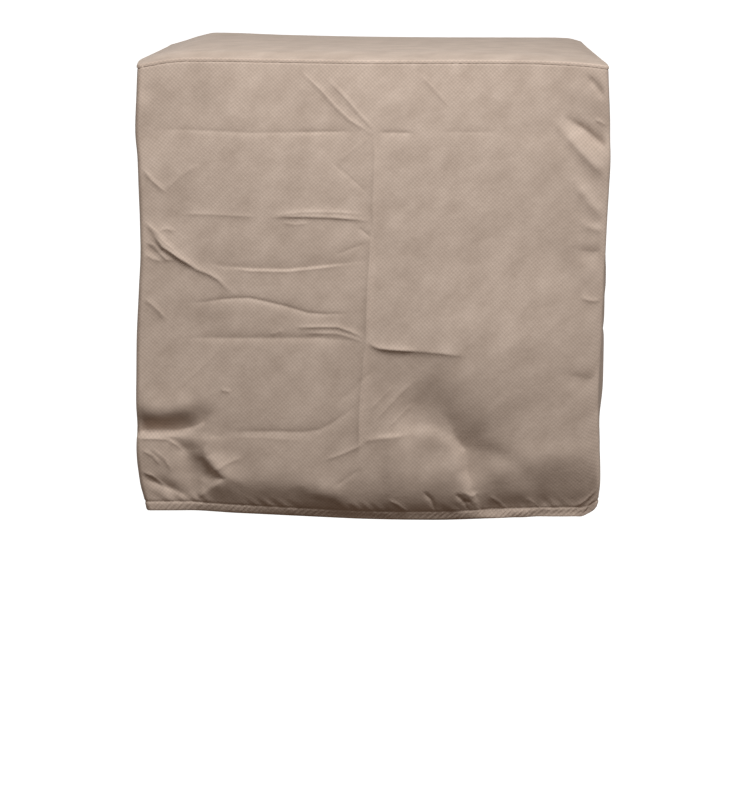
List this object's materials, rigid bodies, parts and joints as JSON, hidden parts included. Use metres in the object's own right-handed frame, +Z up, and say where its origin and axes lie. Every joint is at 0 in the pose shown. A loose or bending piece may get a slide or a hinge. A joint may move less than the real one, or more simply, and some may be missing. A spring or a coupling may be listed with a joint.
{
  "type": "barbecue cover",
  "caption": "Fitted box-shaped cloth cover, hollow and open below, with sewn edges, packing creases and a turned hem.",
  "frame": {"origin": "under the middle of the top panel, where the cover rests on what it covers", "axes": "+Z up, the front panel faces -Y, +X to the right of someone who faces the front"},
  "size_m": [0.7505, 0.6738, 0.726],
  "materials": {
    "cover_fabric": "matt taupe spunbonded nonwoven cloth, embossed with a fine diagonal lattice"
  },
  "bodies": {
    "root": {"top_panel": "cover_fabric", "front_panel": "cover_fabric", "back_panel": "cover_fabric", "left_panel": "cover_fabric", "right_panel": "cover_fabric"}
  },
  "joints": []
}
